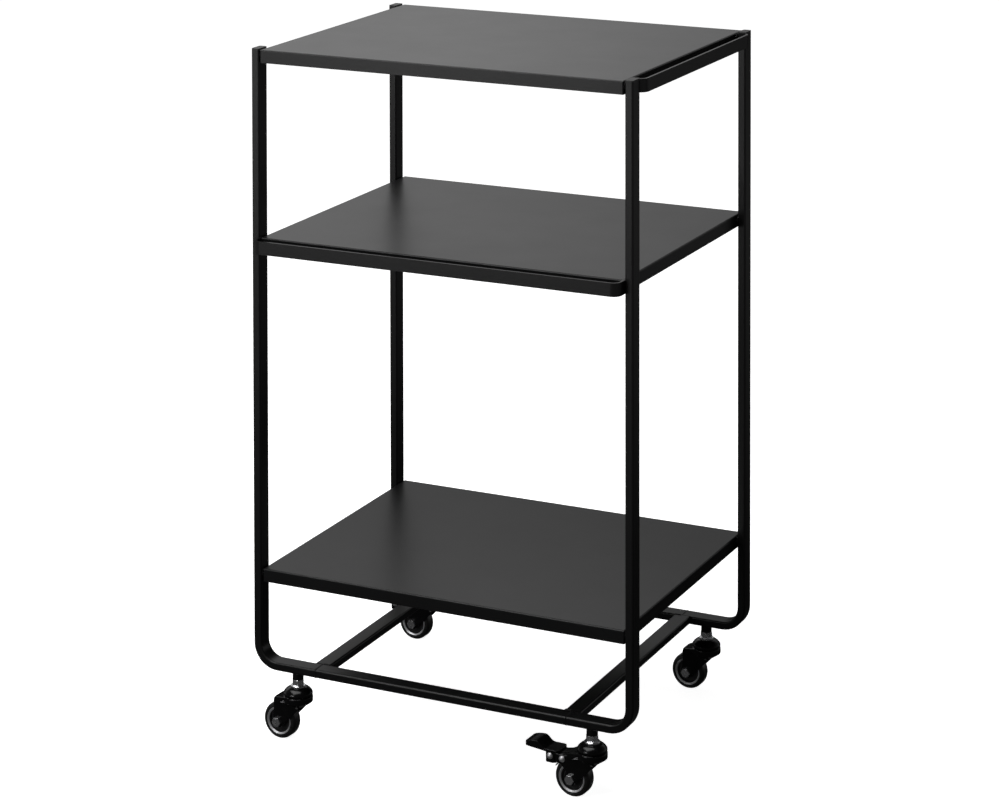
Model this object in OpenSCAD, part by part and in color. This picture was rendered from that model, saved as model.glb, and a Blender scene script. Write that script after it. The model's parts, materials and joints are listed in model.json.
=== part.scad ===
// Three-tier rolling shelf cart: a flat-tube frame with folded sheet-steel shelves, a flat-bar side
// handle, a flat-bar front guard and four swivel casters, two of them with a foot brake.
// Millimetres. +X is the cart's right, +Y its back, +Z up. The origin is on the floor, under the
// middle of the cart's whole outline.

/* [Frame] */
// Width over the outer faces of the posts
frame_w = 486; // [460:2:560]
// Depth over the outer faces of the posts
frame_d = 366; // [340:2:460]
// Height of the top shelf's surface above the floor
top_h = 815; // [740:5:900]
// Height of the middle shelf's surface above the floor
middle_h = 593.5; // [560:0.5:640]
// Height of the bottom shelf's surface above the floor
bottom_h = 200; // [170:1:260]
// Broad side of the flat oval-cornered steel tube
tube_w = 20; // [20:1:24]
// Narrow side of the tube
tube_t = 10; // [10:0.5:12]
// Wall of the tube
tube_wall = 1.2; // [1:0.1:1.5]
// Outer corner radius of the tube
tube_r = 2; // [1.5:0.1:2.5]
// Inner radius of the bend at the foot of each post
bend_r = 20; // [15:1:30]
// Distance from the cart's middle to each butt seam and cross rail
seam_x = 161; // [140:1:165]

/* [Shelves] */
// Thickness of the shelf sheet
sheet = 1; // [0.8:0.1:1.5]
// Height of a shelf's folded edge
fold_h = 15.5; // [14:0.5:20]
// Outer radius of a shelf's folds
fold_r = 1.5; // [1.5:0.1:2.5]
// Width of the lip turned in under each folded edge
lip_w = 7; // [5:1:12]
// Gap between a shelf's end and the post, filled by the rivet nuts' flanges
end_gap = 1.6; // [1.5:0.1:2]
// How far the bottom shelf is set back from the posts' outer faces
bottom_inset = 2.4; // [0:0.1:4]

/* [Handle and guard] */
// Thickness of the flat bar
bar_t = 2.5; // [2:0.1:3]
// Height of the flat bar
bar_h = 15.4; // [14:0.1:16]
// Outer radius of the flat bar's corners
bar_r = 10; // [8:0.5:12]
// How far the side handle stands out from the right-hand posts
handle_out = 6.2; // [5:0.1:30]
// How far the front guard stands out from the front posts
guard_out = 18.3; // [15:0.1:30]

/* [Casters] */
// Distance of each caster's stem from the post's outer face, along the width
stem_in = 54; // [52:1:56]
// Wheel diameter
wheel_dia = 43; // [42:0.5:43]
// Wheel width
wheel_w = 16; // [15:0.5:16]
// Distance from the swivel axis back to the axle
trail = 22; // [21.5:0.5:23]
// Direction in which the wheels trail at rest, about +Z from +X
trail_turn = 177; // [0:1:359]
// Height of the underside of the rails above the floor
rail_z = 81.5; // [81.5:0.5:84]

/* [Brake] */
// Width of the pedal
pedal_w = 24.4; // [24.3:0.1:26]
// Distance from the swivel axis to the pedal's tip
pedal_reach = 79.5; // [76:0.5:84]

/* [Hidden] */
$fn = 48;

// Colours
powder_black = "#1c1c1e";
caster_black = "#141416";
zinc = "#b9bcc0";
rubber_black = "#101012";
plastic_black = "#18181a";

// Places of the frame's members
post_x = frame_w / 2 - tube_t / 2;
rail_y = frame_d / 2 - tube_w / 2;
post_in_x = frame_w / 2 - tube_t;
rail_in_y = frame_d / 2 - tube_w;
rail_mid_z = rail_z + tube_t / 2;
bend_mid_r = bend_r + tube_t / 2;
bend_x = frame_w / 2 - tube_t - bend_r;
bend_z = rail_z + tube_t + bend_r;
seam_gap = 0.3;
cap_h = 2;
cap_top_z = top_h + 1;
post_top_z = cap_top_z - cap_h;
plug_gap = 0.1;
plug_l = 12;

// Shelf fixing: one socket-head screw into a rivet nut at each corner
shelf_half_x = post_in_x - end_gap;
screw_drop = 8;
shelf_heights = [bottom_h, middle_h, top_h];
screw_r = 2.5;
screw_head_r = 4.5;
screw_head_h = 2.6;
screw_reach = 9.5;
nut_body_r = 3.5;
nut_flange_r = 5;
nut_body_l = 6.5;

// Rail connectors: a plug across each butt seam with one screw on each side from below
connector_l = 20;
connector_screw_x = 12;
connector_screw_r = 2;
connector_head_r = 3.8;
connector_head_h = 2.2;
connector_screw_l = 6;

// Caster stack, heights above the floor
stem_x = frame_w / 2 - stem_in;
stem_y = rail_y;
boss_r = 6.5;
boss_drop = 8.5;
boss_rise = 6.5;
stem_r = 4;
pin_r = 3;
jam_nut_af = 13;
jam_nut_h = 7;
washer_r = 9;
washer_h = 2;
jam_nut_z = rail_z - boss_drop - jam_nut_h;
washer_z = jam_nut_z - washer_h;
swivel_cap_h = 8.6;
swivel_cap_r = 17.25;
swivel_cap_z = washer_z - swivel_cap_h;
cap_rim_h = 2.2;
cap_steps = 10;
ball_r = 2.38;
ball_ring_r = 11.5;
ball_count = 12;
ball_z = swivel_cap_z + ball_r;

// Fork
fork_sheet = 2;
fork_top_z = swivel_cap_z - 0.9;
fork_crown_z = fork_top_z - 2.5;
fork_race_z = ball_z - ball_r - 0.05;
fork_r = 17.5;
fork_half_w = 11;
fork_in = fork_half_w - fork_sheet;
nose_d = 27.5;
brake_nose_d = 36;
nose_z = 50;
nose_slope = 12;
nose_bend_r = 4;
shoulder_foot = -8;
skirt_z = fork_top_z - 7.3;
skirt_foot_r = 8.3;
skirt_foot_z = skirt_z - 6.2;
axle_z = wheel_dia / 2;
leg_foot_r = 7.5;
run_gap = 0.05;

// Axle and wheel
axle_r = 3;
axle_head_af = 10;
axle_head_h = 4;
axle_nut_h = 5;
bush_r = 4;
bush_half_l = fork_in - 0.02;
hub_half_w = fork_in - 0.3;
hub_boss_r = 6.5;
rim_in_r = 13.8;
rim_out_r = 16.3;
rim_half_w = wheel_w / 2 - 0.3;
dish_half_w = 4.5;
shoulder_r = 4;
bore_l = 60;

// Brake. The pedal turns on the outer rivet, its cam bears on a shoe that turns on the inner rivet
pedal_pivot = [47.4, 43.5];
shoe_pivot = [32.8, 42.3];
rivet_r = 1.5;
rivet_head_r = 3.75;
rivet_head_h = 2.2;
pedal_sheet = 1;
pedal_flat_z = 50.5;
pedal_start = 37;
pedal_bend_d = 53;
pedal_hump_d = 65;
pedal_hump_z = 57.3;
pedal_tip_z = 54.6;
pedal_wall = 1.4;
pedal_lip = 4.6;
pedal_bend_lip = 3;
pedal_end_lip = 2.7;
pedal_corner_r = 3.5;
pedal_rib_r = 1.3;
pedal_rib_back = 4;
flange_back_d = 52.5;
flange_front_d = 42;
flange_low_z = 36;
cheek_end_r = 4.8;
cam_r = 7.5;
cam_offset = 3.1;
cam_turn = 255.9;
cam_half_w = 5;
cam_neck = 7;
shoe_gap = 0.8;
shoe_t = 1;
shoe_half_w = fork_in - 0.8;
shoe_ear_in = 7.1;
shoe_ear_r = 2.6;
shoe_from = 28;
shoe_to = 60;

// Middle of the whole outline, measured from the middle of the posts
outline_left = -stem_x + pedal_reach * cos(trail_turn) - pedal_w / 2 * abs(sin(trail_turn));
outline_mid_x = (outline_left + frame_w / 2 + handle_out) / 2;
outline_mid_y = (stem_y + fork_r - frame_d / 2 - guard_out) / 2;

// ---- shared shapes ----

// Moves from the middle of the posts to the cart's origin
module in_cart() {
    translate([-outline_mid_x, -outline_mid_y, 0]) children();
}

// Repeats a piece at the four corners of a rectangle
module at_corners(x, y) {
    for (sx = [-1, 1], sy = [-1, 1]) {
        translate([sx * x, sy * y, 0]) children();
    }
}

// Moves from a caster's own frame, swivel axis at the origin and +X the trailing side, to its stem
module at_stem(side_x, side_y) {
    translate([side_x * stem_x, side_y * stem_y, 0]) rotate(trail_turn) children();
}

module rounded_rect(x, y, r) {
    square([x - 2 * r, y], center = true);
    square([x, y - 2 * r], center = true);
    for (sx = [-1, 1], sy = [-1, 1]) {
        translate([sx * (x / 2 - r), sy * (y / 2 - r)]) circle(r);
    }
}

module tube_section(x, y) {
    difference() {
        rounded_rect(x, y, tube_r);
        rounded_rect(x - 2 * tube_wall, y - 2 * tube_wall, tube_r - tube_wall);
    }
}

module tube_plug(x, y, l) {
    linear_extrude(l) rounded_rect(x - 2 * tube_wall - 2 * plug_gap, y - 2 * tube_wall - 2 * plug_gap, 1);
}

module tube_along_x(l) {
    rotate([90, 0, 90]) linear_extrude(l, center = true) tube_section(tube_w, tube_t);
}

// A shape along Y from a 2D outline in X and Z
module across(half_w) {
    rotate([90, 0, 0]) linear_extrude(2 * half_w, center = true) children();
}

// A round body about Y from a 2D outline in radius and Y
module about_y() {
    rotate([-90, 0, 0]) rotate_extrude() children();
}

module hexagon(af) {
    circle(af / 2 / cos(30), $fn = 6);
}

// ---- frame ----

// A post with its foot bend and its half of the bottom rail, on the cart's right at Y = 0
module j_post() {
    difference() {
        union() {
            translate([post_x, 0, bend_z]) linear_extrude(post_top_z - bend_z) tube_section(tube_t, tube_w);
            translate([bend_x, 0, bend_z]) rotate([-90, 0, 0]) rotate_extrude(angle = 90)
                translate([bend_mid_r, 0]) tube_section(tube_t, tube_w);
            translate([(bend_x + seam_x) / 2, 0, rail_mid_z]) tube_along_x(bend_x - seam_x);
        }
        for (h = shelf_heights) {
            translate([post_in_x - 1, 0, h - screw_drop]) rotate([0, 90, 0])
                cylinder(4, r = nut_body_r + 0.1);
        }
        translate([stem_x, 0, rail_z - 1]) cylinder(5, r = boss_r + 0.1);
        translate([seam_x + connector_screw_x, 0, rail_z - 1]) cylinder(4, r = connector_screw_r + 0.2);
    }
}

module post_at(side_x, side_y) {
    translate([0, side_y * rail_y, 0]) mirror([side_x < 0 ? 1 : 0, 0, 0]) j_post();
}

module middle_rail(side_y) {
    difference() {
        translate([0, side_y * rail_y, rail_mid_z]) tube_along_x(2 * (seam_x - seam_gap));
        for (sx = [-1, 1]) {
            translate([sx * (seam_x - connector_screw_x), side_y * rail_y, rail_z - 1])
                cylinder(4, r = connector_screw_r + 0.2);
        }
    }
}

module cross_rail(side_x) {
    translate([side_x * seam_x, 0, rail_mid_z]) rotate(90) tube_along_x(2 * rail_in_y);
}

module front_left_post() { color(powder_black) in_cart() post_at(-1, -1); }
module front_right_post() { color(powder_black) in_cart() post_at(1, -1); }
module back_left_post() { color(powder_black) in_cart() post_at(-1, 1); }
module back_right_post() { color(powder_black) in_cart() post_at(1, 1); }
module front_middle_rail() { color(powder_black) in_cart() middle_rail(-1); }
module back_middle_rail() { color(powder_black) in_cart() middle_rail(1); }
module left_cross_rail() { color(powder_black) in_cart() cross_rail(-1); }
module right_cross_rail() { color(powder_black) in_cart() cross_rail(1); }

// Pressed-in plastic caps that close the tops of the posts
// The plug is slotted to clear the top shelf's rivet nut
module post_caps() {
    slot_top = nut_body_r + 0.6;
    color(plastic_black) in_cart() at_corners(post_x, rail_y) {
        translate([0, 0, post_top_z]) linear_extrude(cap_h) rounded_rect(tube_t, tube_w, tube_r);
        difference() {
            translate([0, 0, post_top_z - plug_l]) tube_plug(tube_t, tube_w, plug_l);
            translate([0, 0, top_h - screw_drop + slot_top - plug_l / 2])
                cube([2 * tube_t, 2 * slot_top, plug_l], center = true);
        }
    }
}

module rail_connectors() {
    color(zinc) in_cart() at_corners(seam_x, rail_y) difference() {
        translate([-connector_l, 0, rail_mid_z]) rotate([90, 0, 90])
            tube_plug(tube_w, tube_t, 2 * connector_l);
        for (sx = [-1, 1]) {
            translate([sx * connector_screw_x, 0, rail_z]) cylinder(tube_t, r = connector_screw_r + run_gap);
        }
    }
}

module rail_connector_screws() {
    color(zinc) in_cart() at_corners(seam_x, rail_y) for (sx = [-1, 1]) {
        translate([sx * connector_screw_x, 0, rail_z - connector_head_h]) difference() {
            union() {
                cylinder(connector_head_h, r1 = connector_head_r - 1, r2 = connector_head_r);
                cylinder(connector_head_h + connector_screw_l, r = connector_screw_r);
            }
            translate([0, 0, -1]) linear_extrude(2.4) hexagon(2.5);
        }
    }
}

// Threaded bosses welded into the rails, which take the caster stems
module caster_bosses() {
    color(powder_black) in_cart() at_corners(stem_x, stem_y) difference() {
        translate([0, 0, rail_z - boss_drop]) cylinder(boss_drop + boss_rise, r = boss_r);
        translate([0, 0, rail_z - boss_drop - 1]) cylinder(boss_drop + boss_rise, r = stem_r + run_gap);
    }
}

// ---- shelves ----

// A block with rounded top edges and corners, its top at Z = 0
module eased_block(half_x, half_y, h, r) {
    intersection() {
        rotate([90, 0, 0]) linear_extrude(2 * half_y, center = true) eased_outline(half_x, h, r);
        rotate([90, 0, 90]) linear_extrude(2 * half_x, center = true) eased_outline(half_y, h, r);
        translate([0, 0, -h]) linear_extrude(h) rounded_rect(2 * half_x, 2 * half_y, r);
    }
}

module eased_outline(half_w, h, r) {
    translate([-half_w, -h]) square([2 * half_w, h - r]);
    translate([-half_w + r, -h]) square([2 * half_w - 2 * r, h]);
    for (s = [-1, 1]) {
        translate([s * (half_w - r), -r]) circle(r);
    }
}

// A folded sheet shelf with a lip turned in under its edges, open below
module folded_shelf(half_y) {
    difference() {
        eased_block(shelf_half_x, half_y, fold_h, fold_r);
        translate([0, 0, -sheet])
            eased_block(shelf_half_x - sheet, half_y - sheet, fold_h - 2 * sheet, fold_r - sheet + 0.1);
        translate([0, 0, -fold_h])
            cube(2 * [shelf_half_x - lip_w, half_y - lip_w, 3 * sheet], center = true);
        for (sx = [-1, 1], sy = [-1, 1]) {
            translate([sx * shelf_half_x, sy * rail_y, -screw_drop]) rotate([0, 90, 0])
                cylinder(6, r = screw_r + 0.25, center = true);
        }
    }
}

module top_shelf() {
    color(powder_black) in_cart() translate([0, 0, top_h]) folded_shelf(frame_d / 2);
}

// The front corners are notched to clear the ends of the front guard
module middle_shelf() {
    color(powder_black) in_cart() translate([0, 0, middle_h]) difference() {
        folded_shelf(frame_d / 2);
        for (sx = [-1, 1]) {
            translate([sx * (post_in_x - bar_t / 2), -frame_d / 2, 0])
                cube([bar_t + 1, 11, 3 * fold_h], center = true);
        }
    }
}

module bottom_shelf() {
    color(powder_black) in_cart() translate([0, 0, bottom_h]) folded_shelf(frame_d / 2 - bottom_inset);
}

// Every shelf screw's place: the right-hand one is drawn and mirrored to the left
module at_shelf_screws() {
    for (sx = [0, 1], sy = [-1, 1], h = shelf_heights) {
        mirror([sx, 0, 0]) translate([shelf_half_x, sy * rail_y, h - screw_drop]) rotate([0, 90, 0])
            children();
    }
}

module shelf_screws() {
    color(zinc) in_cart() at_shelf_screws() difference() {
        union() {
            translate([0, 0, -sheet - screw_head_h])
                cylinder(screw_head_h, r1 = screw_head_r - 1, r2 = screw_head_r);
            translate([0, 0, -sheet - 0.5]) cylinder(screw_reach - 1, r = screw_r);
        }
        translate([0, 0, -sheet - screw_head_h - 1]) linear_extrude(2.6) hexagon(3);
    }
}

module post_rivet_nuts() {
    color(zinc) in_cart() at_shelf_screws() difference() {
        union() {
            translate([0, 0, 0.02]) cylinder(end_gap - 0.04, r = nut_flange_r);
            translate([0, 0, 0.02]) cylinder(end_gap + nut_body_l, r = nut_body_r);
        }
        translate([0, 0, -1]) cylinder(end_gap + nut_body_l + 2, r = screw_r + run_gap);
    }
}

// ---- flat-bar handle and guard ----

// A bar bent to a wide U in plan: its run lies along X at Y = -reach, its arms end at Y = 0
module bar_u(half_run, reach) {
    linear_extrude(bar_h) {
        translate([-half_run + bar_r, -reach]) square([2 * (half_run - bar_r), bar_t]);
        for (s = [0, 1]) {
            mirror([s, 0]) {
                translate([half_run - bar_t, -reach + bar_r]) square([bar_t, reach - bar_r]);
                translate([half_run - bar_r, -reach + bar_r]) intersection() {
                    difference() {
                        circle(bar_r);
                        circle(bar_r - bar_t);
                    }
                    translate([0, -bar_r]) square(bar_r);
                }
            }
        }
    }
}

// Welded to the facing sides of the two right-hand posts, level with the top shelf
module side_handle_bar() {
    color(powder_black) in_cart()
        translate([post_in_x, 0, top_h - bar_h]) rotate(90) bar_u(rail_in_y, tube_t + handle_out);
}

// Welded to the facing sides of the two front posts, level with the middle shelf
module front_guard_bar() {
    color(powder_black) in_cart()
        translate([0, 4 - frame_d / 2, middle_h - bar_h]) bar_u(post_in_x, guard_out + 4);
}

// ---- fixed upper part of the casters ----

// Threaded stems: the shank screws into the boss, the lower pin carries the fork on its riveted head
module caster_stems() {
    color(zinc) in_cart() at_corners(stem_x, stem_y) {
        translate([0, 0, fork_crown_z + 0.1]) cylinder(rail_z + 5 - fork_crown_z, r = stem_r);
        translate([0, 0, fork_crown_z - 4]) cylinder(5, r = pin_r);
        translate([0, 0, fork_crown_z - 4]) cylinder(1.9, r1 = pin_r + 0.8, r2 = pin_r + 2);
    }
}

module caster_jam_nuts() {
    color(zinc) in_cart() at_corners(stem_x, stem_y) translate([0, 0, jam_nut_z]) difference() {
        intersection() {
            linear_extrude(jam_nut_h) hexagon(jam_nut_af);
            cylinder(jam_nut_h, r1 = jam_nut_af / 2 + jam_nut_h, r2 = jam_nut_af / 2);
            cylinder(jam_nut_h, r1 = jam_nut_af / 2 + 0.6, r2 = jam_nut_af / 2 + 0.6 + jam_nut_h);
        }
        translate([0, 0, -1]) cylinder(jam_nut_h + 2, r = stem_r + run_gap);
    }
}

module caster_washers() {
    color(zinc) in_cart() at_corners(stem_x, stem_y) translate([0, 0, washer_z]) rotate_extrude()
        polygon([[stem_r + run_gap, 0], [washer_r - 0.4, 0], [washer_r, 0.4], [washer_r, washer_h - 0.4],
            [washer_r - 0.4, washer_h], [stem_r + run_gap, washer_h]]);
}

// Points of a flat dome, from its flat top at radius r1 and height h1 to its rim at r2 and h2
function dome(r1, h1, r2, h2) = [for (k = [0 : cap_steps])
    let (t = sin(90 * k / cap_steps))
    [r1 + (r2 - r1) * t, h2 + (h1 - h2) * pow(1 - pow(t, 1.6), 0.8)]];

function reversed(points) = [for (k = [len(points) - 1 : -1 : 0]) points[k]];

// Pressed cups over the swivel balls
module swivel_caps() {
    inner_r = swivel_cap_r - 1.5;
    inner_h = swivel_cap_h - 1.7;
    color(caster_black) in_cart() at_corners(stem_x, stem_y) translate([0, 0, swivel_cap_z]) rotate_extrude()
        polygon(concat([[stem_r + run_gap, swivel_cap_h]],
            dome(washer_r, swivel_cap_h, swivel_cap_r, cap_rim_h),
            [[swivel_cap_r, 0.3], [swivel_cap_r - 0.3, 0], [inner_r + 0.2, 0]],
            reversed(dome(washer_r, inner_h, inner_r, cap_rim_h - 0.2)), [[stem_r + run_gap, inner_h]]));
}

module swivel_balls() {
    color(zinc) in_cart() at_corners(stem_x, stem_y) for (k = [0 : ball_count - 1]) {
        rotate(k * 360 / ball_count) translate([ball_ring_r, 0, ball_z]) sphere(ball_r);
    }
}

// ---- forks, in the caster's own frame ----

// Pressed crown: raceway, rolled edge and a skirt that narrows to the legs
module fork_crown() {
    difference() {
        rotate_extrude() polygon([[pin_r + run_gap, fork_crown_z], [8, fork_crown_z], [9, fork_race_z],
            [13.5, fork_race_z], [14.5, fork_top_z - 0.3], [16.6, fork_top_z - 0.3], [17.2, fork_top_z - 0.7],
            [fork_r, fork_top_z - 1.5], [fork_r, skirt_z], [skirt_foot_r, skirt_foot_z],
            [skirt_foot_r - 1.6, skirt_foot_z + 1], [fork_r - 3, skirt_z],
            [fork_r - fork_sheet, fork_crown_z - fork_sheet], [pin_r + run_gap, fork_crown_z - fork_sheet]]);
        translate([30, 0, fork_crown_z - 2 * fork_sheet - 20]) cube([62, 2 * fork_in, 40], center = true);
    }
}

// The nose and both legs are one bent channel, cut to the outline of a side
module fork_channel(end_d) {
    intersection() {
        translate([nose_d, 0, nose_z]) rotate([0, nose_slope, 0]) rotate([90, 0, 90])
            linear_extrude(80, center = true) difference() {
                translate([0, -30]) rounded_rect(2 * fork_half_w, 60, nose_bend_r);
                translate([0, -30 - fork_sheet]) rounded_rect(2 * fork_in, 60, nose_bend_r - fork_sheet);
            }
        across(20) side_outline(end_d);
    }
}

// Sloping shoulder that widens the nose to the crown, tangent to the crown in plan
module fork_shoulder() {
    taper = asin((fork_r - fork_half_w) / nose_d);
    tangent = fork_r * [sin(taper), cos(taper)];
    intersection() {
        linear_extrude(60) polygon([[tangent.x, tangent.y], [nose_d - 1, fork_half_w - 0.5],
            [nose_d - 1, 0.5 - fork_half_w], [tangent.x, -tangent.y]]);
        translate([nose_d, 0, nose_z]) rotate([0, nose_slope, 0]) rotate([90, 0, 90])
            linear_extrude(80, center = true) difference() {
                polygon([[-fork_r, 0], [fork_r, 0], [fork_half_w - 0.5, shoulder_foot],
                    [0.5 - fork_half_w, shoulder_foot]]);
                translate([0, -30 - fork_sheet]) rounded_rect(2 * fork_in, 60, nose_bend_r - fork_sheet);
            }
        difference() {
            translate([0, -fork_r, 0]) cube([nose_d, 2 * fork_r, 60]);
            translate([0, 0, -1]) cylinder(70, r = fork_r - fork_sheet);
        }
    }
}

module side_outline(end_d) {
    polygon([[8, 60], [-1, skirt_foot_z + 1], [-skirt_foot_r + 1, skirt_foot_z + 1],
        [-skirt_foot_r + 1.5, skirt_foot_z - 0.6], [7, 26], [trail - 7.2, axle_z - 2.2], [trail, axle_z],
        [trail + leg_foot_r, axle_z],
        [max(nose_d, trail + leg_foot_r - 1.5), 30], [end_d, 35 + (end_d - nose_d) / 4], [end_d, 60]]);
    translate([trail, axle_z]) circle(leg_foot_r);
}

module axle_bore() {
    translate([trail, 0, axle_z]) rotate([90, 0, 0]) cylinder(bore_l, r = axle_r + run_gap, center = true);
}

module plain_fork() {
    difference() {
        union() {
            fork_crown();
            fork_shoulder();
            fork_channel(nose_d);
        }
        axle_bore();
    }
}

// Flat cheeks that carry the pedal's rivet behind the nose
module brake_cheeks() {
    difference() {
        across(fork_half_w) {
            polygon([[26, 34], [34, 36.6], [pedal_pivot.x, pedal_pivot.y - cheek_end_r],
                [pedal_pivot.x, pedal_pivot.y + cheek_end_r], [34, 47], [26, 47]]);
            translate(pedal_pivot) circle(cheek_end_r);
        }
        cube([200, 2 * fork_in, 200], center = true);
    }
}

module brake_fork() {
    difference() {
        union() {
            fork_crown();
            fork_shoulder();
            fork_channel(brake_nose_d);
            brake_cheeks();
        }
        axle_bore();
        for (p = [pedal_pivot, shoe_pivot]) {
            translate([p.x, 0, p.y]) rotate([90, 0, 0]) cylinder(bore_l, r = rivet_r + run_gap, center = true);
        }
    }
}

// ---- axle and wheel ----

// The head is on the fork's +Y side
module axle_bolt() {
    translate([trail, 0, axle_z]) rotate([-90, 0, 0]) {
        translate([0, 0, fork_half_w + 0.02]) intersection() {
            linear_extrude(axle_head_h) hexagon(axle_head_af);
            cylinder(axle_head_h, r1 = axle_head_af / 2 + axle_head_h + 0.2, r2 = axle_head_af / 2 + 0.2);
        }
        translate([0, 0, -fork_half_w - axle_nut_h - 1])
            cylinder(2 * fork_half_w + axle_nut_h + 3, r = axle_r);
    }
}

module axle_nut() {
    translate([trail, 0, axle_z]) rotate([90, 0, 0]) translate([0, 0, fork_half_w + 0.02]) difference() {
        union() {
            linear_extrude(axle_nut_h - 1.6) hexagon(axle_head_af);
            cylinder(axle_nut_h, r = axle_head_af / 2 - 0.5);
        }
        translate([0, 0, -1]) cylinder(axle_nut_h + 2, r = axle_r + run_gap);
    }
}

module axle_bush() {
    translate([trail, 0, axle_z]) about_y() translate([axle_r + run_gap, -bush_half_l])
        square([bush_r - axle_r - run_gap, 2 * bush_half_l]);
}

// Moulded centre with a boss, a dished web and a bed for the rim
module wheel_hub() {
    translate([trail, 0, axle_z]) about_y() polygon([
        [bush_r + run_gap, -hub_half_w], [hub_boss_r, -hub_half_w], [hub_boss_r + 0.6, -dish_half_w],
        [rim_in_r - 1.6, -dish_half_w], [rim_in_r - 1, -rim_half_w + 1], [rim_in_r, -rim_half_w + 1],
        [rim_in_r, rim_half_w - 1], [rim_in_r - 1, rim_half_w - 1], [rim_in_r - 1.6, dish_half_w],
        [hub_boss_r + 0.6, dish_half_w], [hub_boss_r, hub_half_w], [bush_r + run_gap, hub_half_w]]);
}

// Bright metal band between the centre and the tyre, with rounded edges that show on both sides
module wheel_rim() {
    rim_mid_r = (rim_in_r + rim_out_r) / 2;
    rim_edge_r = (rim_out_r - rim_in_r) / 2 - 0.02;
    translate([trail, 0, axle_z]) about_y() {
        translate([rim_mid_r - rim_edge_r, -rim_half_w + rim_edge_r])
            square([2 * rim_edge_r, 2 * (rim_half_w - rim_edge_r)]);
        for (s = [-1, 1]) {
            translate([rim_mid_r, s * (rim_half_w - rim_edge_r)]) circle(rim_edge_r);
        }
    }
}

module tyre() {
    out_r = wheel_dia / 2;
    half_w = wheel_w / 2;
    translate([trail, 0, axle_z]) about_y() {
        translate([rim_out_r, -half_w + shoulder_r]) square([out_r - rim_out_r, 2 * (half_w - shoulder_r)]);
        translate([rim_out_r, -half_w]) square([out_r - shoulder_r - rim_out_r, wheel_w]);
        for (s = [-1, 1]) {
            translate([out_r - shoulder_r, s * (half_w - shoulder_r)]) intersection() {
                circle(shoulder_r);
                translate([-1, -shoulder_r]) square([shoulder_r + 1, 2 * shoulder_r]);
            }
        }
    }
}

// ---- brake ----

// Height of the pedal's upper face along its length: a flat, a smooth rise and a drooping tip
function pedal_z(d) =
    d <= pedal_bend_d ? pedal_flat_z :
    d <= pedal_hump_d ? pedal_rise_z((d - pedal_bend_d) / (pedal_hump_d - pedal_bend_d)) :
    pedal_hump_z + (pedal_tip_z - pedal_hump_z) * pow((d - pedal_hump_d) / (pedal_reach - pedal_hump_d), 2);

function pedal_rise_z(t) = pedal_flat_z + (pedal_hump_z - pedal_flat_z) * (1 - cos(180 * t)) / 2;

pedal_rise = [for (k = [0 : 8]) pedal_bend_d + (pedal_hump_d - pedal_bend_d) * k / 8];
pedal_droop = [for (k = [1 : 4]) pedal_hump_d + (pedal_reach - pedal_hump_d) * k / 4];

// The pedal's plan between two distances from the swivel axis, inset from its edges
module pedal_plan(from, to, inset) {
    translate([(to + from) / 2, 0, pedal_flat_z - 20])
        linear_extrude(40) rounded_rect(to - from, pedal_w - 2 * inset, pedal_corner_r - inset);
}

// The raised end as a solid whose lower edge is straight, its upper face lowered by top
module pedal_end(top, low, inset) {
    intersection() {
        across(pedal_w / 2) polygon(concat(
            [for (d = concat(pedal_rise, pedal_droop)) [d, pedal_z(d) - top]],
            [[pedal_reach, pedal_tip_z - pedal_lip - low],
                [pedal_bend_d, pedal_flat_z - pedal_bend_lip - low]]));
        pedal_plan(pedal_start, pedal_reach - inset, inset);
    }
}

// A pressed plate with a lip turned down round its raised end and at its inner end, and a rib across its tip
module pedal_plate() {
    rib_d = pedal_reach - pedal_rib_back;
    difference() {
        pedal_end(0, 0, 0);
        pedal_end(pedal_wall, 1, pedal_sheet);
    }
    intersection() {
        across(pedal_w / 2) {
            translate([pedal_start, pedal_flat_z - pedal_wall])
                square([pedal_bend_d + 1 - pedal_start, pedal_wall]);
            translate([pedal_start, pedal_flat_z - pedal_end_lip]) square([pedal_wall, pedal_end_lip]);
        }
        pedal_plan(pedal_start, pedal_reach, 0);
    }
    translate([rib_d, 0, pedal_z(rib_d) - pedal_rib_r / 2]) rotate([90, 0, 0])
        cylinder(pedal_w - 2 * pedal_corner_r, r = pedal_rib_r, center = true);
}

// Foot pedal: a plate, a side flange outside each cheek and a cam between the cheeks
module brake_pedal() {
    flange_mid = pedal_w / 2 - pedal_sheet / 2;
    flange_top_z = pedal_flat_z - pedal_wall / 2;
    difference() {
        union() {
            pedal_plate();
            for (s = [-1, 1]) {
                translate([0, s * flange_mid, 0]) across(pedal_sheet / 2)
                    polygon([[flange_front_d, flange_top_z], [flange_front_d, flange_low_z + 1],
                        [flange_front_d + 1, flange_low_z], [flange_back_d - 1, flange_low_z],
                        [flange_back_d, flange_low_z + 1], [flange_back_d, flange_top_z]]);
            }
            across(cam_half_w) {
                translate(pedal_pivot + cam_offset * [cos(cam_turn), sin(cam_turn)]) circle(cam_r);
                translate([pedal_pivot.x - cam_neck / 2, pedal_pivot.y])
                    square([cam_neck, flange_top_z - pedal_pivot.y]);
            }
        }
        translate([pedal_pivot.x, 0, pedal_pivot.y]) rotate([90, 0, 0])
            cylinder(bore_l, r = rivet_r + run_gap, center = true);
    }
}

// Bent spring-steel shoe: a curved plate just clear of the tread, hung by two ears on the inner rivet
module brake_shoe() {
    in_r = wheel_dia / 2 + shoe_gap;
    difference() {
        union() {
            across(shoe_half_w) shoe_arc(in_r);
            for (s = [-1, 1]) {
                translate([0, s * (shoe_half_w + shoe_ear_in) / 2, 0])
                    across((shoe_half_w - shoe_ear_in) / 2) {
                        translate(shoe_pivot) circle(shoe_ear_r);
                        shoe_arc(in_r);
                    }
            }
        }
        translate([shoe_pivot.x, 0, shoe_pivot.y]) rotate([90, 0, 0])
            cylinder(bore_l, r = rivet_r + run_gap, center = true);
    }
}

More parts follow.
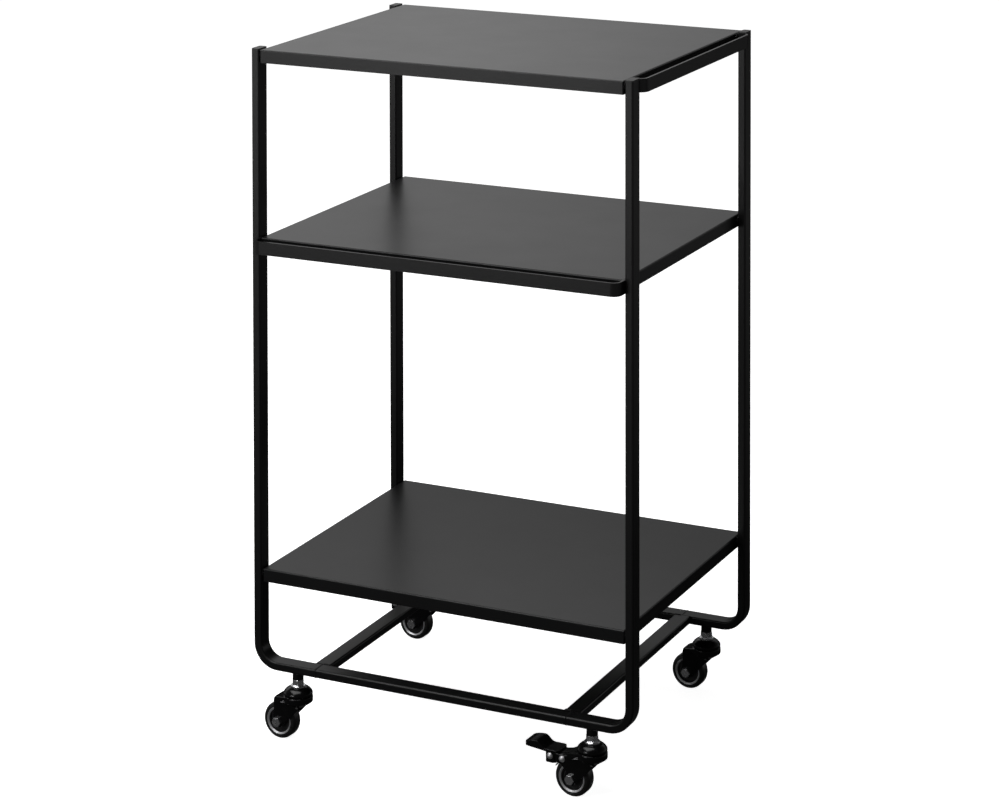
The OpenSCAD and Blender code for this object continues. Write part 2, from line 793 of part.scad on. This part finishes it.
module shoe_arc(in_r) {
    translate([trail, axle_z]) intersection() {
        difference() {
            circle(in_r + shoe_t, $fn = 96);
            circle(in_r, $fn = 96);
        }
        polygon([[0, 0], 60 * [cos(shoe_from), sin(shoe_from)], 60 * [cos(shoe_to), sin(shoe_to)]]);
    }
}

module brake_rivets() {
    for (p = [pedal_pivot, shoe_pivot]) {
        head_y = (p == pedal_pivot) ? pedal_w / 2 + 0.05 : fork_half_w + 0.02;
        translate([p.x, 0, p.y]) {
            rotate([90, 0, 0]) cylinder(2 * head_y + 1, r = rivet_r, center = true);
            for (s = [0, 1]) {
                mirror([0, s, 0]) translate([0, head_y, 0]) rivet_head();
            }
        }
    }
}

// A domed head whose flat side faces the origin, standing along +Y
module rivet_head() {
    dome_r = (rivet_head_r * rivet_head_r + rivet_head_h * rivet_head_h) / (2 * rivet_head_h);
    intersection() {
        translate([0, rivet_head_h - dome_r, 0]) sphere(dome_r);
        rotate([-90, 0, 0]) cylinder(rivet_head_h + 1, r = rivet_head_r + 1);
    }
}

// ---- caster nodes ----

module front_left_fork() { color(caster_black) in_cart() at_stem(-1, -1) plain_fork(); }
module front_left_axle_bolt() { color(zinc) in_cart() at_stem(-1, -1) axle_bolt(); }
module front_left_axle_nut() { color(zinc) in_cart() at_stem(-1, -1) axle_nut(); }
module front_left_axle_bush() { color(zinc) in_cart() at_stem(-1, -1) axle_bush(); }
module front_left_wheel_hub() { color(plastic_black) in_cart() at_stem(-1, -1) wheel_hub(); }
module front_left_wheel_rim() { color(zinc) in_cart() at_stem(-1, -1) wheel_rim(); }
module front_left_tyre() { color(rubber_black) in_cart() at_stem(-1, -1) tyre(); }

module front_right_fork() { color(caster_black) in_cart() at_stem(1, -1) brake_fork(); }
module front_right_axle_bolt() { color(zinc) in_cart() at_stem(1, -1) axle_bolt(); }
module front_right_axle_nut() { color(zinc) in_cart() at_stem(1, -1) axle_nut(); }
module front_right_axle_bush() { color(zinc) in_cart() at_stem(1, -1) axle_bush(); }
module front_right_wheel_hub() { color(plastic_black) in_cart() at_stem(1, -1) wheel_hub(); }
module front_right_wheel_rim() { color(zinc) in_cart() at_stem(1, -1) wheel_rim(); }
module front_right_tyre() { color(rubber_black) in_cart() at_stem(1, -1) tyre(); }

module back_left_fork() { color(caster_black) in_cart() at_stem(-1, 1) brake_fork(); }
module back_left_axle_bolt() { color(zinc) in_cart() at_stem(-1, 1) axle_bolt(); }
module back_left_axle_nut() { color(zinc) in_cart() at_stem(-1, 1) axle_nut(); }
module back_left_axle_bush() { color(zinc) in_cart() at_stem(-1, 1) axle_bush(); }
module back_left_wheel_hub() { color(plastic_black) in_cart() at_stem(-1, 1) wheel_hub(); }
module back_left_wheel_rim() { color(zinc) in_cart() at_stem(-1, 1) wheel_rim(); }
module back_left_tyre() { color(rubber_black) in_cart() at_stem(-1, 1) tyre(); }

module back_right_fork() { color(caster_black) in_cart() at_stem(1, 1) plain_fork(); }
module back_right_axle_bolt() { color(zinc) in_cart() at_stem(1, 1) axle_bolt(); }
module back_right_axle_nut() { color(zinc) in_cart() at_stem(1, 1) axle_nut(); }
module back_right_axle_bush() { color(zinc) in_cart() at_stem(1, 1) axle_bush(); }
module back_right_wheel_hub() { color(plastic_black) in_cart() at_stem(1, 1) wheel_hub(); }
module back_right_wheel_rim() { color(zinc) in_cart() at_stem(1, 1) wheel_rim(); }
module back_right_tyre() { color(rubber_black) in_cart() at_stem(1, 1) tyre(); }

module front_right_brake_pedal() { color(caster_black) in_cart() at_stem(1, -1) brake_pedal(); }
module front_right_brake_shoe() { color(zinc) in_cart() at_stem(1, -1) brake_shoe(); }
module front_right_brake_rivets() { color(zinc) in_cart() at_stem(1, -1) brake_rivets(); }
module back_left_brake_pedal() { color(caster_black) in_cart() at_stem(-1, 1) brake_pedal(); }
module back_left_brake_shoe() { color(zinc) in_cart() at_stem(-1, 1) brake_shoe(); }
module back_left_brake_rivets() { color(zinc) in_cart() at_stem(-1, 1) brake_rivets(); }

front_left_post();
front_right_post();
back_left_post();
back_right_post();
front_middle_rail();
back_middle_rail();
left_cross_rail();
right_cross_rail();
post_caps();
rail_connectors();
rail_connector_screws();
caster_bosses();
top_shelf();
middle_shelf();
bottom_shelf();
shelf_screws();
post_rivet_nuts();
side_handle_bar();
front_guard_bar();
caster_stems();
caster_jam_nuts();
caster_washers();
swivel_caps();
swivel_balls();
front_left_fork();
front_left_axle_bolt();
front_left_axle_nut();
front_left_axle_bush();
front_left_wheel_hub();
front_left_wheel_rim();
front_left_tyre();
front_right_fork();
front_right_axle_bolt();
front_right_axle_nut();
front_right_axle_bush();
front_right_wheel_hub();
front_right_wheel_rim();
front_right_tyre();
back_left_fork();
back_left_axle_bolt();
back_left_axle_nut();
back_left_axle_bush();
back_left_wheel_hub();
back_left_wheel_rim();
back_left_tyre();
back_right_fork();
back_right_axle_bolt();
back_right_axle_nut();
back_right_axle_bush();
back_right_wheel_hub();
back_right_wheel_rim();
back_right_tyre();
front_right_brake_pedal();
front_right_brake_shoe();
front_right_brake_rivets();
back_left_brake_pedal();
back_left_brake_shoe();
back_left_brake_rivets();
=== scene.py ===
import json
import math
import bmesh
import bpy
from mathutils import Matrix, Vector


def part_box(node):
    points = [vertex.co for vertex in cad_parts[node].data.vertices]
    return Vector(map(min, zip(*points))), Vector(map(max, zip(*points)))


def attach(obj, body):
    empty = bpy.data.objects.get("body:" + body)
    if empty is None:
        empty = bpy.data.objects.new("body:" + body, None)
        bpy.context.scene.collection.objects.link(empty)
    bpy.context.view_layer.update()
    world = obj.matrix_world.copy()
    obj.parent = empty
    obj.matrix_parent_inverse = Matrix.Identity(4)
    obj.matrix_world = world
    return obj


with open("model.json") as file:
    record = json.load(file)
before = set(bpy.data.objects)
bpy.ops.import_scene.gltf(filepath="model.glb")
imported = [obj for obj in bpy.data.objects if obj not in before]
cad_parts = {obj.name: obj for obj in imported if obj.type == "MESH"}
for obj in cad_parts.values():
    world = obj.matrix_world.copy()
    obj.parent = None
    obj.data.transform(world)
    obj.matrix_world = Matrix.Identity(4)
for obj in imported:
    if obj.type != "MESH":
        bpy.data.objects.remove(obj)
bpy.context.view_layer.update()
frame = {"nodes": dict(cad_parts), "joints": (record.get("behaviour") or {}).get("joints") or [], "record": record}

# Looks of a rolling shelf cart: satin powder coat on a flat-tube frame and folded sheet shelves,
# zinc-plated fasteners and small black casters. Everything is in metres, in the cart's own frame.

MM = 0.001
RECORD = frame["record"]
NODES = frame["nodes"]
JOINTS = {j["name"]: j for j in frame["joints"]}
CORNERS = ["front_left", "front_right", "back_left", "back_right"]
BRAKED = ["front_right", "back_left"]


# ---------------------------------------------------------------- node graphs

class Graph:
    """Short calls that add nodes to the tree of a material or a world."""

    def __init__(self, owner):
        owner.use_nodes = True
        self.tree = owner.node_tree
        self.tree.nodes.clear()

    def add(self, kind, inputs=None, **settings):
        node = self.tree.nodes.new(kind)
        for key, value in settings.items():
            setattr(node, key, value)
        for key, value in (inputs or {}).items():
            self.link(value, node.inputs[key])
        return node

    def link(self, value, socket):
        if isinstance(value, bpy.types.NodeSocket):
            self.tree.links.new(value, socket)
        else:
            socket.default_value = value

    def output(self, kind, shader):
        self.tree.links.new(shader.outputs[0], self.add(kind).inputs[0])

    def place(self):
        """Coordinates in metres that move with the piece."""
        return self.add("ShaderNodeTexCoord").outputs["Object"]

    def noise(self, where, size_mm, detail=2.0, rough=0.5):
        """Grey noise whose features are about size_mm across."""
        node = self.add("ShaderNodeTexNoise", {
            "Vector": where, "Scale": 1 / (size_mm * MM), "Detail": detail, "Roughness": rough})
        return node.outputs["Fac"]

    def span(self, value, low, high, start=0.0, stop=1.0):
        """A clamped ramp: low where the value is start, high where it is stop."""
        node = self.add("ShaderNodeMapRange", {
            "Value": value, "From Min": start, "From Max": stop, "To Min": low, "To Max": high})
        return node.outputs["Result"]

    def math(self, operation, a, b):
        return self.add("ShaderNodeMath", {0: a, 1: b}, operation=operation).outputs[0]

    def product(self, first, *others):
        for value in others:
            first = self.math("MULTIPLY", first, value)
        return first

    def mix_colours(self, factor, a, b):
        return self.add("ShaderNodeMix", {0: factor, 6: a, 7: b}, data_type="RGBA").outputs[2]

    def mix_numbers(self, factor, a, b):
        return self.add("ShaderNodeMix", {0: factor, 2: a, 3: b}, data_type="FLOAT").outputs[0]

    def position(self):
        """Where a ray meets the surface, in the cart's frame."""
        return self.add("ShaderNodeNewGeometry").outputs["Position"]

    def split(self, vector):
        return self.add("ShaderNodeSeparateXYZ", {0: vector}).outputs

    def camera_ray(self):
        """1 for what the camera sees directly and 0 for what it sees in a reflection."""
        return self.add("ShaderNodeLightPath").outputs["Is Camera Ray"]

    def emission(self, strength):
        return self.add("ShaderNodeEmission", {"Color": grey(1.0), "Strength": strength})

    def bump(self, height, depth_mm, strength=1.0, normal=None):
        inputs = {"Height": height, "Distance": depth_mm * MM, "Strength": strength}
        if normal is not None:
            inputs["Normal"] = normal
        return self.add("ShaderNodeBump", inputs).outputs["Normal"]

    def soft_edge(self, radius_mm):
        """Normals that round the edges over radius_mm."""
        return self.add("ShaderNodeBevel", {"Radius": radius_mm * MM}, samples=4).outputs["Normal"]

    def surface(self, **inputs):
        named = {key.replace("_", " "): value for key, value in inputs.items()}
        self.output("ShaderNodeOutputMaterial", self.add("ShaderNodeBsdfPrincipled", named))


def new_material(name):
    material = bpy.data.materials.new(name)
    return material, Graph(material)


def grey(level, tint=0.0):
    """A linear grey, which tint shifts towards blue."""
    return (level, level, level * (1 + tint), 1.0)


# ---------------------------------------------------------------- materials

COAT_ROUGHNESS = 0.33
COAT_UNEVENNESS = 0.02
COAT_IOR = 1.35
COAT_TINT = 0.05
METAL_TINT = 0.02
METAL_DARKEST = 0.85

# Each metal's grey level, lowest roughness and highest roughness.
METALS = {
    "zinc_plate": (0.88, 0.20, 0.32),
    "rim_metal": (0.90, 0.40, 0.50),
    "spring_steel": (0.45, 0.25, 0.40),
    "bearing_steel": (0.75, 0.08, 0.14),
    "dull_zinc": (0.72, 0.46, 0.56),
}


def powder_coat():
    """Satin black powder coat: orange peel, a fine grain and slightly uneven gloss."""
    material, g = new_material("powder_coat")
    where = g.place()
    patches = g.noise(where, size_mm=60, detail=3.0, rough=0.6)
    color = g.mix_colours(patches, grey(0.0040, COAT_TINT), grey(0.0060, COAT_TINT))
    rough = g.span(patches, COAT_ROUGHNESS - COAT_UNEVENNESS, COAT_ROUGHNESS + COAT_UNEVENNESS)
    orange_peel = g.noise(where, size_mm=1.6)
    grain = g.noise(where, size_mm=0.35, detail=1.0)
    normal = g.bump(orange_peel, depth_mm=0.010, strength=0.8)
    normal = g.bump(grain, depth_mm=0.003, strength=0.8, normal=normal)
    g.surface(Base_Color=color, Roughness=rough, IOR=COAT_IOR, Normal=normal)
    return material


def caster_paint():
    """Semi-gloss black paint over pressed steel, with a slight ripple."""
    material, g = new_material("caster_black")
    where = g.place()
    patches = g.noise(where, size_mm=9, detail=3.0, rough=0.6)
    color = g.mix_colours(patches, grey(0.0022, COAT_TINT), grey(0.0045, COAT_TINT))
    normal = g.bump(g.noise(where, size_mm=2.5), depth_mm=0.02, strength=0.7)
    rough = g.span(patches, low=0.14, high=0.22)
    g.surface(Base_Color=color, Roughness=rough, IOR=COAT_IOR, Normal=normal)
    return material


def bare_metal(name):
    """Metal with faint uneven patches and a fine grain."""
    level, rough_low, rough_high = METALS[name]
    material, g = new_material(name)
    where = g.place()
    patches = g.noise(where, size_mm=3.0, detail=3.0, rough=0.6)
    color = g.mix_colours(patches, grey(level * METAL_DARKEST, METAL_TINT), grey(level, METAL_TINT))
    rough = g.span(patches, rough_low, rough_high)
    normal = g.bump(g.noise(where, size_mm=0.3, detail=1.0), depth_mm=0.01, strength=0.5,
                    normal=g.soft_edge(radius_mm=0.25))
    g.surface(Base_Color=color, Metallic=1.0, Roughness=rough, Normal=normal)
    return material


def moulded_plastic():
    """Black plastic with the fine texture of its mould."""
    material, g = new_material("black_plastic")
    where = g.place()
    patches = g.noise(where, size_mm=12)
    color = g.mix_colours(patches, grey(0.006), grey(0.009))
    normal = g.bump(g.noise(where, size_mm=0.4), depth_mm=0.015, strength=0.6,
                    normal=g.soft_edge(radius_mm=0.3))
    g.surface(Base_Color=color, Roughness=g.span(patches, low=0.42, high=0.52), Normal=normal)
    return material


def tyre_rubber():
    """Black rubber with a matt, slightly rough skin."""
    material, g = new_material("tyre_rubber")
    where = g.place()
    patches = g.noise(where, size_mm=7, detail=3.0, rough=0.6)
    color = g.mix_colours(patches, grey(0.006), grey(0.010))
    skin = g.noise(where, size_mm=0.5, detail=3.0, rough=0.6)
    normal = g.bump(skin, depth_mm=0.02, strength=0.6)
    g.surface(Base_Color=color, Roughness=g.span(patches, low=0.36, high=0.46), Normal=normal)
    return material


def make_materials():
    """A material for each of the record's slots, and a duller zinc for the brake rivets."""
    materials = {
        "powder_coat": powder_coat(),
        "caster_black": caster_paint(),
        "black_plastic": moulded_plastic(),
        "tyre_rubber": tyre_rubber(),
    }
    materials.update((name, bare_metal(name)) for name in METALS)
    return materials


def dress(obj, material):
    obj.data.materials.clear()
    obj.data.materials.append(material)


def dress_cad_nodes():
    for row in RECORD["subparts"]:
        dress(NODES[row["node"]], MATERIALS[row["material_slot"]])
    for corner in BRAKED:
        dress(NODES[corner + "_brake_rivets"], MATERIALS["dull_zinc"])


# ---------------------------------------------------------------- pressed shapes

def press_formed(node, cell_mm, passes):
    """Rounds a pressed part's bends and edges: an even skin, then a little smoothing."""
    obj = NODES[node]
    skin = obj.modifiers.new("skin", "REMESH")
    skin.mode = "VOXEL"
    skin.voxel_size = cell_mm * MM
    skin.use_smooth_shade = True
    soften = obj.modifiers.new("soften", "SMOOTH")
    soften.factor = 0.5
    soften.iterations = passes


def form_pressed_parts():
    for corner in CORNERS:
        press_formed(corner + "_fork", cell_mm=0.45, passes=10)
    for corner in BRAKED:
        press_formed(corner + "_brake_pedal", cell_mm=0.32, passes=3)
    press_formed("swivel_caps", cell_mm=0.4, passes=4)


# ---------------------------------------------------------------- added pieces

def new_object(name, data):
    obj = bpy.data.objects.new(name, data)
    bpy.context.scene.collection.objects.link(obj)
    return obj


def object_from(name, bm):
    """Turns a bmesh into an object."""
    mesh = bpy.data.meshes.new(name)
    bm.to_mesh(mesh)
    bm.free()
    return new_object(name, mesh)


def new_piece(name, bm, body, slot):
    """Turns a bmesh into a smooth-shaded piece that rides on a body and takes a slot's finish."""
    bmesh.ops.recalc_face_normals(bm, faces=bm.faces)
    for face in bm.faces:
        face.smooth = True
    obj = object_from(name, bm)
    dress(obj, MATERIALS[slot])
    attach(obj, body)


def full_turn(steps):
    """Even steps round a circle, in radians."""
    return [2 * math.pi * k / steps for k in range(steps)]


def sweep(bm, path, radii, side, closed=False, corners=10):
    """A round cord along a flat path. side is the direction square to the path's plane."""
    count = len(path)
    rings = []
    for k, (point, radius) in enumerate(zip(path, radii)):
        after = path[(k + 1) % count] if closed else path[min(k + 1, count - 1)]
        before = path[k - 1] if closed else path[max(k - 1, 0)]
        out = (after - before).normalized().cross(side)
        ways = [math.cos(t) * out + math.sin(t) * side for t in full_turn(corners)]
        rings.append([bm.verts.new(point + radius * way) for way in ways])
    pairs = list(zip(rings, rings[1:])) + ([(rings[-1], rings[0])] if closed else [])
    for a, b in pairs:
        for c in range(corners):
            d = (c + 1) % corners
            bm.faces.new((a[c], a[d], b[d], b[c]))
    if not closed:
        bm.faces.new(rings[0])
        bm.faces.new(rings[-1])


BEAD_RADIUS = 1.1 * MM
BEAD_PITCH = 1.8 * MM
BEAD_STEP = 0.3 * MM
SCALLOP = 0.14
BEAD_TIP = 0.4


def bead_radii(lengths, total=None):
    """A weld bead's scalloped radius along its length, tapering at its ends unless it is a ring."""
    radii = []
    for at in lengths:
        scallop = 1 - SCALLOP + SCALLOP * abs(math.sin(math.pi * at / BEAD_PITCH))
        taper = 1.0
        if total is not None:
            taper = min(1.0, BEAD_TIP + min(at, total - at) / (2 * BEAD_RADIUS))
        radii.append(BEAD_RADIUS * scallop * taper)
    return radii


def straight_bead(bm, start, end, side):
    start, end = Vector(start), Vector(end)
    total = (end - start).length
    steps = max(4, round(total / BEAD_STEP))
    shares = [k / steps for k in range(steps + 1)]
    path = [start.lerp(end, t) for t in shares]
    sweep(bm, path, bead_radii([t * total for t in shares], total), Vector(side))


def ring_bead(bm, centre, radius):
    turns = full_turn(round(2 * math.pi * radius / BEAD_STEP))
    path = [centre + radius * Vector((math.cos(t), math.sin(t), 0)) for t in turns]
    sweep(bm, path, bead_radii([radius * t for t in turns]), Vector((0, 0, 1)), closed=True)


def make_cross_rail_beads():
    """Each cross rail is welded to the middle rails on its inboard half, above and below."""
    for side, inboard in (("left", 1), ("right", -1)):
        low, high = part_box(side + "_cross_rail")
        inner = high.x if inboard > 0 else low.x
        middle = (low.x + high.x) / 2
        bm = bmesh.new()
        for y in (low.y, high.y):
            for z in (low.z, high.z):
                straight_bead(bm, (middle + inboard * MM, y, z), (inner, y, z), (0, 0, 1))
            straight_bead(bm, (inner, y, low.z), (inner, y, high.z), (1, 0, 0))
        new_piece(side + "_cross_rail_welds", bm, "cart_frame", "powder_coat")


def make_bar_beads():
    """Beads at the ends of the handle bar's and the guard bar's arms."""
    bm = bmesh.new()
    low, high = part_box("side_handle_bar")
    for y in (low.y + MM, high.y - MM):
        straight_bead(bm, (low.x, y, low.z + MM), (low.x, y, high.z - MM), (1, 0, 0))
    new_piece("handle_bar_welds", bm, "cart_frame", "powder_coat")
    bm = bmesh.new()
    low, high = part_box("front_guard_bar")
    for x in (low.x + MM, high.x - MM):
        straight_bead(bm, (x, high.y, low.z + MM), (x, high.y, high.z - MM), (0, 1, 0))
    new_piece("guard_bar_welds", bm, "cart_frame", "powder_coat")


def make_boss_beads():
    """A ring of weld round the foot of each caster boss, under the rail."""
    rail_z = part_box("front_middle_rail")[0].z
    stem = JOINTS["front_right_caster_swivel"]["pos_m"]
    boss_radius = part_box("caster_bosses")[1].x - stem[0]
    bm = bmesh.new()
    for corner in CORNERS:
        x, y, _ = JOINTS[corner + "_caster_swivel"]["pos_m"]
        ring_bead(bm, Vector((x, y, rail_z)), boss_radius)
    new_piece("caster_boss_welds", bm, "cart_frame", "powder_coat")


SEAM_EDGE = 0.35 * MM
SEAM_HALF_GAP = 0.45 * MM
TUBE_CORNER = 2 * MM
CORNER_STEPS = 6


def tube_outline(low, high, x):
    """A path round a rail's oval-cornered section at x."""
    path = []
    for sy, sz, start in ((1, 1, 0), (-1, 1, 90), (-1, -1, 180), (1, -1, 270)):
        y = (high.y if sy > 0 else low.y) - sy * TUBE_CORNER
        z = (high.z if sz > 0 else low.z) - sz * TUBE_CORNER
        for k in range(CORNER_STEPS + 1):
            turn = math.radians(start + 90 / CORNER_STEPS * k)
            out_y, out_z = TUBE_CORNER * math.cos(turn), TUBE_CORNER * math.sin(turn)
            path.append(Vector((x, y + out_y, z + out_z)))
    return path


def make_seam_edges():
    """Each butt seam's tube ends are slightly upset: two fine rounded edges with a gap."""
    bm = bmesh.new()
    for rail in ("front_middle_rail", "back_middle_rail"):
        low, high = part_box(rail)
        for seam in (low.x, high.x):
            for side in (-1, 1):
                path = tube_outline(low, high, seam + side * SEAM_HALF_GAP)
                sweep(bm, path, [SEAM_EDGE] * len(path), Vector((1, 0, 0)), closed=True, corners=8)
    new_piece("rail_seam_edges", bm, "cart_frame", "powder_coat")


WHEEL_STEPS = 96
SIDEWALL_RIB = 0.3 * MM
SIDEWALL_RIB_AT = 0.82
RIM_LIP = 0.6 * MM


def ring_both_faces(corner, part, cord, radius_from):
    """A bmesh with a thin round ring on both faces of one of a wheel's parts."""
    joint = JOINTS[corner + "_wheel_spin"]
    centre, axis = Vector(joint["pos_m"]), Vector(joint["axis"]).normalized()
    across = axis.cross(Vector((0, 0, 1))).normalized()
    up = across.cross(axis)
    reach = [v.co - centre for v in NODES[corner + part].data.vertices]
    half_width = max(abs(r.dot(axis)) for r in reach)
    radius = radius_from(max((r - r.dot(axis) * axis).length for r in reach))
    bm = bmesh.new()
    for side in (-1, 1):
        middle = centre + side * half_width * axis
        path = [middle + radius * (math.cos(t) * across + math.sin(t) * up)
                for t in full_turn(WHEEL_STEPS)]
        sweep(bm, path, [cord] * WHEEL_STEPS, axis, closed=True)
    return bm


def make_sidewall_ribs():
    """A fine moulded rib round both sidewalls of each tyre."""
    for corner in CORNERS:
        bm = ring_both_faces(corner, "_tyre", SIDEWALL_RIB, lambda radius: SIDEWALL_RIB_AT * radius)
        new_piece(corner + "_tyre_ribs", bm, corner + "_wheel", "tyre_rubber")


def make_rim_lips():
    """A rolled lip round both faces of each wheel's bright rim."""
    for corner in CORNERS:
        bm = ring_both_faces(corner, "_wheel_rim", RIM_LIP, lambda radius: radius - RIM_LIP)
        new_piece(corner + "_rim_lips", bm, corner + "_wheel", "rim_metal")


# ---------------------------------------------------------------- stage, lights and camera

# Each ramp below is (level at its start, level at its end, start, end). Start and end are in
# metres for the floor and the wall, and are parts of a direction for the sky.
FLOOR_SIZE = 80
FLOOR_GREY = 0.8
FLOOR_GLOW = 0.94
FLOOR_FRONT_RAMP = (0.04, 0.35, 0.7, 4.0)
FLOOR_BACK_RAMP = (0.01, 0.14, 0.7, 4.0)
FLOOR_FRONT_TO_BACK = (0.0, 1.0, -0.3, 0.5)


def make_floor():
    """A pale floor: white with a faint contact shadow to the camera, dim in reflections."""
    material, g = new_material("studio_floor")
    pale = g.add("ShaderNodeBsdfDiffuse", {"Color": grey(FLOOR_GREY)})
    seen = g.add("ShaderNodeAddShader", {0: pale.outputs[0], 1: g.emission(FLOOR_GLOW).outputs[0]})
    where = g.position()
    distance = g.add("ShaderNodeVectorMath", {0: where}, operation="LENGTH").outputs["Value"]
    back = g.span(g.split(where)["Y"], *FLOOR_FRONT_TO_BACK)
    level = g.mix_numbers(back, g.span(distance, *FLOOR_FRONT_RAMP),
                          g.span(distance, *FLOOR_BACK_RAMP))
    looks = {0: g.camera_ray(), 1: g.emission(level).outputs[0], 2: seen.outputs[0]}
    g.output("ShaderNodeOutputMaterial", g.add("ShaderNodeMixShader", looks))
    bpy.ops.mesh.primitive_plane_add(size=FLOOR_SIZE)
    floor = bpy.context.object
    floor.name = "studio_floor"
    dress(floor, material)


WALL_AT = Vector((-1.08, 2.26, 0))
WALL_ALONG = Vector((0.9, 0.43, 0))
WALL_HALF_WIDTH = 3.0
WALL_HEIGHT = 4.0
WALL_LEVEL = 1.02
WALL_RISE = (0.0, 1.0, 0.65, 1.4)
WALL_FADE = (1.0, 0.2, 1.7, 3.2)
WALL_LEFT_TO_RIGHT = (1.0, 0.5, -1.15, -0.35)


def make_glow_wall():
    """A lit wall behind the cart, which only reflections see. It is dark near the floor."""
    material, g = new_material("glow_wall")
    where = g.split(g.position())
    level = g.product(g.span(where["Z"], *WALL_RISE), g.span(where["Z"], *WALL_FADE),
                      g.span(where["X"], *WALL_LEFT_TO_RIGHT), WALL_LEVEL)
    g.output("ShaderNodeOutputMaterial", g.emission(level))
    bm = bmesh.new()
    half = WALL_HALF_WIDTH * WALL_ALONG
    foot = [WALL_AT - half, WALL_AT + half]
    head = [at + Vector((0, 0, WALL_HEIGHT)) for at in reversed(foot)]
    bm.faces.new([bm.verts.new(at) for at in foot + head])
    wall = object_from("glow_wall", bm)
    wall.visible_camera = False
    wall.visible_diffuse = False
    wall.visible_shadow = False
    dress(wall, material)


SKY_LEVEL = 0.0824
SKY_LOWEST = 0.12
SKY_FALL = -1.6
SKY_HORIZON = (0.2, 1.0, 0.0, 0.15)
SKY_FRONT_TO_BACK = (0.12, 1.0, -0.3, 0.6)
SKY_LEFT_TO_RIGHT = (1.10, 0.5, -0.44, -0.28)


def make_world():
    """White where the camera looks. Elsewhere a glow low in the sky, behind and to the left."""
    world = bpy.data.worlds.new("studio")
    bpy.context.scene.world = world
    g = Graph(world)
    way = g.split(g.add("ShaderNodeTexCoord").outputs["Generated"])
    fall = g.math("POWER", g.math("MAXIMUM", way["Z"], SKY_LOWEST), SKY_FALL)
    glow = g.product(fall, SKY_LEVEL, g.span(way["Z"], *SKY_HORIZON),
                     g.span(way["Y"], *SKY_FRONT_TO_BACK), g.span(way["X"], *SKY_LEFT_TO_RIGHT))
    strength = g.mix_numbers(g.camera_ray(), glow, 1.0)
    g.output("ShaderNodeOutputWorld", g.add("ShaderNodeBackground", {"Strength": strength}))


# Each softbox: its place, the point it faces, its width and height in metres, its watts.
SOFTBOXES = {
    "overhead_softbox": ((-0.7, -0.4, 3.0), (-0.2, 0, 0.4), (2.4, 2.4), 75),
    "low_front_softbox": ((-1.05, -2.4, 0.45), (0, -0.2, 0.6), (1.0, 0.5), 5.6),
    "key_softbox": ((-1.1, -2.4, 1.6), (0, -0.1, 0.4), (0.8, 0.5), 18),
}


def make_lights():
    for name, (at, aim, size, power) in SOFTBOXES.items():
        data = bpy.data.lights.new(name, "AREA")
        data.shape = "RECTANGLE"
        data.size, data.size_y = size
        data.energy = power
        lamp = new_object(name, data)
        lamp.location = at
        lamp.rotation_euler = (Vector(aim) - Vector(at)).to_track_quat("-Z", "Y").to_euler()
        lamp.visible_camera = False


# The picture is a perspective-corrected one: the lens looks almost level from well above the cart
# and is shifted down, so upright posts stay nearly parallel.
VIEW_AZIMUTH = math.radians(25.623)
VIEW_PITCH = math.radians(-2.013)
VIEW_ROLL = math.radians(0.095)
CAMERA_AT = Vector((1.5341, -3.1854, 1.4285))
PLACE_TOLERANCE = 0.002
SENSOR_MM = 36
LENS_MM = 107.36
LENS_SHIFT = -0.7703


def make_camera():
    data = bpy.data.cameras.new("camera")
    data.sensor_width = SENSOR_MM
    data.lens = LENS_MM
    camera = new_object("camera", data)
    camera.location = CAMERA_AT
    camera.rotation_euler = (math.pi / 2 + VIEW_PITCH, VIEW_ROLL, VIEW_AZIMUTH)
    bpy.context.scene.camera = camera
    shift_only_here(camera)


def shift_only_here(camera):
    """Shifts the lens only while the camera stands at its own place, and not in other views."""
    driver = camera.data.driver_add("shift_y").driver
    for axis in "XYZ":
        variable = driver.variables.new()
        variable.name = axis.lower()
        variable.type = "TRANSFORMS"
        variable.targets[0].id = camera
        variable.targets[0].transform_type = "LOC_" + axis
        variable.targets[0].transform_space = "WORLD_SPACE"
    x, y, z = CAMERA_AT
    away = f"abs(x - {x:.4f}) + abs(y + {-y:.4f}) + abs(z - {z:.4f})"
    driver.expression = f"{LENS_SHIFT} if {away} < {PLACE_TOLERANCE} else 0.0"


def show_plain_colours():
    """Shows colours as lit, so that a white backdrop is white."""
    bpy.context.scene.view_settings.view_transform = "Standard"


MATERIALS = make_materials()
dress_cad_nodes()
form_pressed_parts()
make_cross_rail_beads()
make_bar_beads()
make_boss_beads()
make_seam_edges()
make_sidewall_ribs()
make_rim_lips()
make_floor()
make_glow_wall()
make_world()
make_lights()
make_camera()
show_plain_colours()
